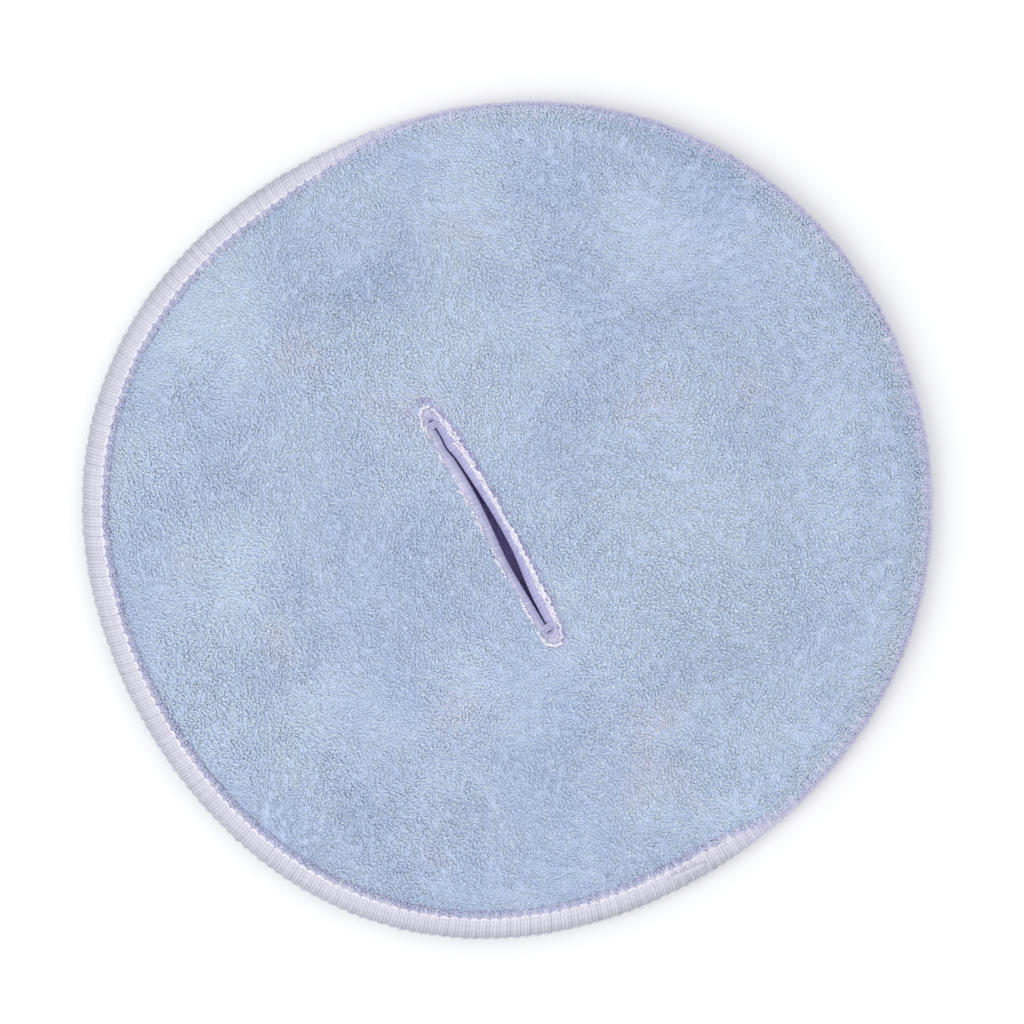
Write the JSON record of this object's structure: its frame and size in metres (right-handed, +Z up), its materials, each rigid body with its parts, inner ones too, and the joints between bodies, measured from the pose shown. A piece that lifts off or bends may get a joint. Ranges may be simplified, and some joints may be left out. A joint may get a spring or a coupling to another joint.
{
  "type": "polishing pad",
  "caption": "Round plush hand-polishing pad of pile cloth on both faces, with an overlocked rim and a stitched slit across the face that opens into a finger pocket.",
  "frame": {"origin": "on the resting surface, under the centre of the pad", "axes": "+Z up through the pad from its back to its face, +Y along the slit, +X across the slit"},
  "size_m": [0.18, 0.18, 0.015],
  "materials": {
    "face_pile": "plush microfibre pile, pale blue",
    "back_pile": "plush microfibre pile, pale blue",
    "foam": "open-cell foam",
    "lining": "plain woven lining, dark violet",
    "edge_thread": "bulky polyester thread, pale lilac",
    "under_thread": "bulky polyester thread, lilac grey",
    "slit_thread": "glossy embroidery thread, pale lilac"
  },
  "bodies": {
    "pad": {"back_cloth": "back_pile", "foam_core": "foam", "pocket_lining": "lining", "face_cloth": "face_pile", "front_bar_tack": "slit_thread", "rear_bar_tack": "slit_thread", "overlock_needle_thread": "edge_thread", "upper_looper_thread": "edge_thread", "lower_looper_thread": "under_thread", "thread_tail": "under_thread"},
    "left_lip": {"left_lip": "face_pile", "left_lip_stitching": "slit_thread", "left_lip_bobbin_thread": "under_thread"},
    "right_lip": {"right_lip": "face_pile", "right_lip_stitching": "slit_thread", "right_lip_bobbin_thread": "under_thread"}
  },
  "joints": [
    {"name": "left_lip_bend", "type": "hinge", "parent": "pad", "child": "left_lip", "pos_m": [-0.02, 0, 0.015], "axis": [0, -1, 0], "range_deg": [0, 50]},
    {"name": "right_lip_bend", "type": "hinge", "parent": "pad", "child": "right_lip", "pos_m": [0.02, 0, 0.015], "axis": [0, 1, 0], "range_deg": [0, 50]}
  ]
}
